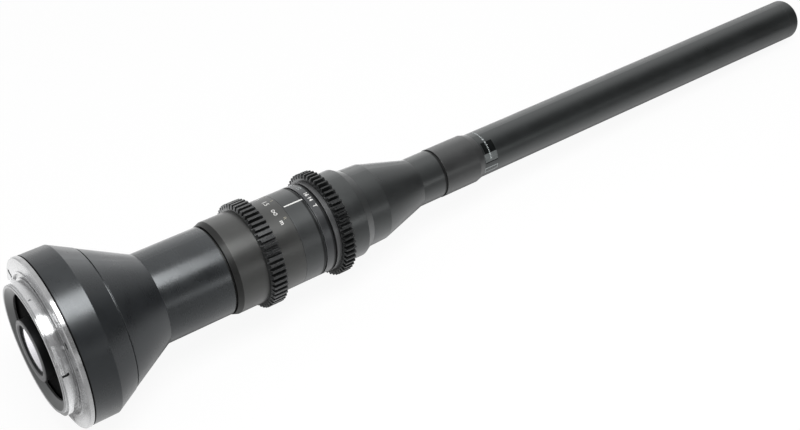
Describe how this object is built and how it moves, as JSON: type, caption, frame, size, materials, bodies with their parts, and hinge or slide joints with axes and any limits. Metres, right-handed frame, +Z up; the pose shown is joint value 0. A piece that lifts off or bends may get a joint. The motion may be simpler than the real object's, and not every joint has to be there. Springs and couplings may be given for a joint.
{
  "type": "probe macro lens",
  "caption": "Long slim probe macro lens: bayonet mount, flared housing, geared focus and aperture rings with numbered scales, tapered front cone and a thin straight probe tube.",
  "frame": {"origin": "centre of the mount register face, on the optical axis", "axes": "+X along the optical axis from the camera mount to the probe tip, +Z up, the index line 10 degrees round from +Z towards -Y, +Y to the left when looking along +X with +Z up"},
  "size_m": [0.4144, 0.0672, 0.0672],
  "materials": {
    "nickel_silver": "satin",
    "screw_steel": "satin",
    "grey_anodised": "matte",
    "matte_black_inner": "matte",
    "tube_black": "satin",
    "coated_glass": "polished",
    "grub_black": "satin",
    "socket_steel": "satin",
    "lead_rubber": "matte",
    "seal_rubber": "matte",
    "board_green": "matte",
    "lamp_chip": "gloss",
    "window_frost": "frosted",
    "gear_black": "matte",
    "follower_brass": "satin",
    "blade_steel": "matte",
    "black_anodised": "satin"
  },
  "bodies": {
    "barrel": {"bayonet_mount": "nickel_silver", "mount_screws": "screw_steel", "rear_trim_ring": "grey_anodised", "rear_baffle": "matte_black_inner", "rear_lens_tube": "tube_black", "rear_element": "coated_glass", "rear_retaining_ring": "matte_black_inner", "mount_housing": "black_anodised", "main_barrel": "black_anodised", "index_ring": "black_anodised", "index_ring_screws": "grub_black", "front_cone": "black_anodised", "power_socket": "socket_steel", "lamp_lead": "lead_rubber", "seal_ring": "seal_rubber", "probe_collar": "black_anodised", "probe_tube": "black_anodised", "tip_bezel": "black_anodised", "front_glass_mount": "matte_black_inner", "front_element": "coated_glass", "lamp_board": "board_green", "lamp_chips": "lamp_chip", "lamp_window": "window_frost", "relay_cell_1": "matte_black_inner", "relay_cell_2": "matte_black_inner", "relay_cell_3": "matte_black_inner", "relay_cell_4": "matte_black_inner", "relay_lens_1": "coated_glass", "relay_lens_2": "coated_glass", "relay_lens_3": "coated_glass", "relay_lens_4": "coated_glass", "iris_base_plate": "matte_black_inner", "iris_retainer": "matte_black_inner"},
    "focus_ring": {"focus_sleeve": "black_anodised", "focus_gear": "gear_black", "focus_gear_screws": "grub_black"},
    "focus_cell_group": {"focus_cell": "matte_black_inner", "focus_lens_rear": "coated_glass", "focus_lens_front": "coated_glass", "focus_lens_ring_rear": "matte_black_inner", "focus_lens_ring_front": "matte_black_inner", "cam_followers": "follower_brass"},
    "aperture_ring_group": {"aperture_ring": "black_anodised", "aperture_gear": "gear_black", "aperture_gear_screws": "grub_black", "iris_cam_ring": "matte_black_inner", "iris_drive_pin": "screw_steel"},
    "blade_1": {"iris_blade_1": "blade_steel"},
    "blade_2": {"iris_blade_2": "blade_steel"},
    "blade_3": {"iris_blade_3": "blade_steel"},
    "blade_4": {"iris_blade_4": "blade_steel"},
    "blade_5": {"iris_blade_5": "blade_steel"}
  },
  "joints": [
    {"name": "focus_turn", "type": "hinge", "parent": "barrel", "child": "focus_ring", "pos_m": [0.0837, 0, 0], "axis": [1, 0, 0], "range_deg": [0, 200]},
    {"name": "focus_cell_slide", "type": "slide", "parent": "barrel", "child": "focus_cell_group", "axis": [1, 0, 0], "range_m": [0, 0.012]},
    {"name": "aperture_turn", "type": "hinge", "parent": "barrel", "child": "aperture_ring_group", "pos_m": [0.1144, 0, 0], "axis": [1, 0, 0], "range_deg": [0, 60]},
    {"name": "blade_1_turn", "type": "hinge", "parent": "barrel", "child": "blade_1", "pos_m": [0.1114, 0, 0.0124], "axis": [1, 0, 0], "range_deg": [-19.5, 0]},
    {"name": "blade_2_turn", "type": "hinge", "parent": "barrel", "child": "blade_2", "pos_m": [0.1114, -0.01179, 0.00383], "axis": [1, 0, 0], "range_deg": [-19.5, 0]},
    {"name": "blade_3_turn", "type": "hinge", "parent": "barrel", "child": "blade_3", "pos_m": [0.1114, -0.00729, -0.01003], "axis": [1, 0, 0], "range_deg": [-19.5, 0]},
    {"name": "blade_4_turn", "type": "hinge", "parent": "barrel", "child": "blade_4", "pos_m": [0.1114, 0.00729, -0.01003], "axis": [1, 0, 0], "range_deg": [-19.5, 0]},
    {"name": "blade_5_turn", "type": "hinge", "parent": "barrel", "child": "blade_5", "pos_m": [0.1114, 0.01179, 0.00383], "axis": [1, 0, 0], "range_deg": [-19.5, 0]}
  ],
  "couplings": [
    {"joint": "focus_cell_slide", "follows": "focus_turn", "m_per_rad": 0.0034377},
    {"joint": "blade_1_turn", "follows": "aperture_turn", "ratio": -0.325},
    {"joint": "blade_2_turn", "follows": "aperture_turn", "ratio": -0.325},
    {"joint": "blade_3_turn", "follows": "aperture_turn", "ratio": -0.325},
    {"joint": "blade_4_turn", "follows": "aperture_turn", "ratio": -0.325},
    {"joint": "blade_5_turn", "follows": "aperture_turn", "ratio": -0.325}
  ]
}
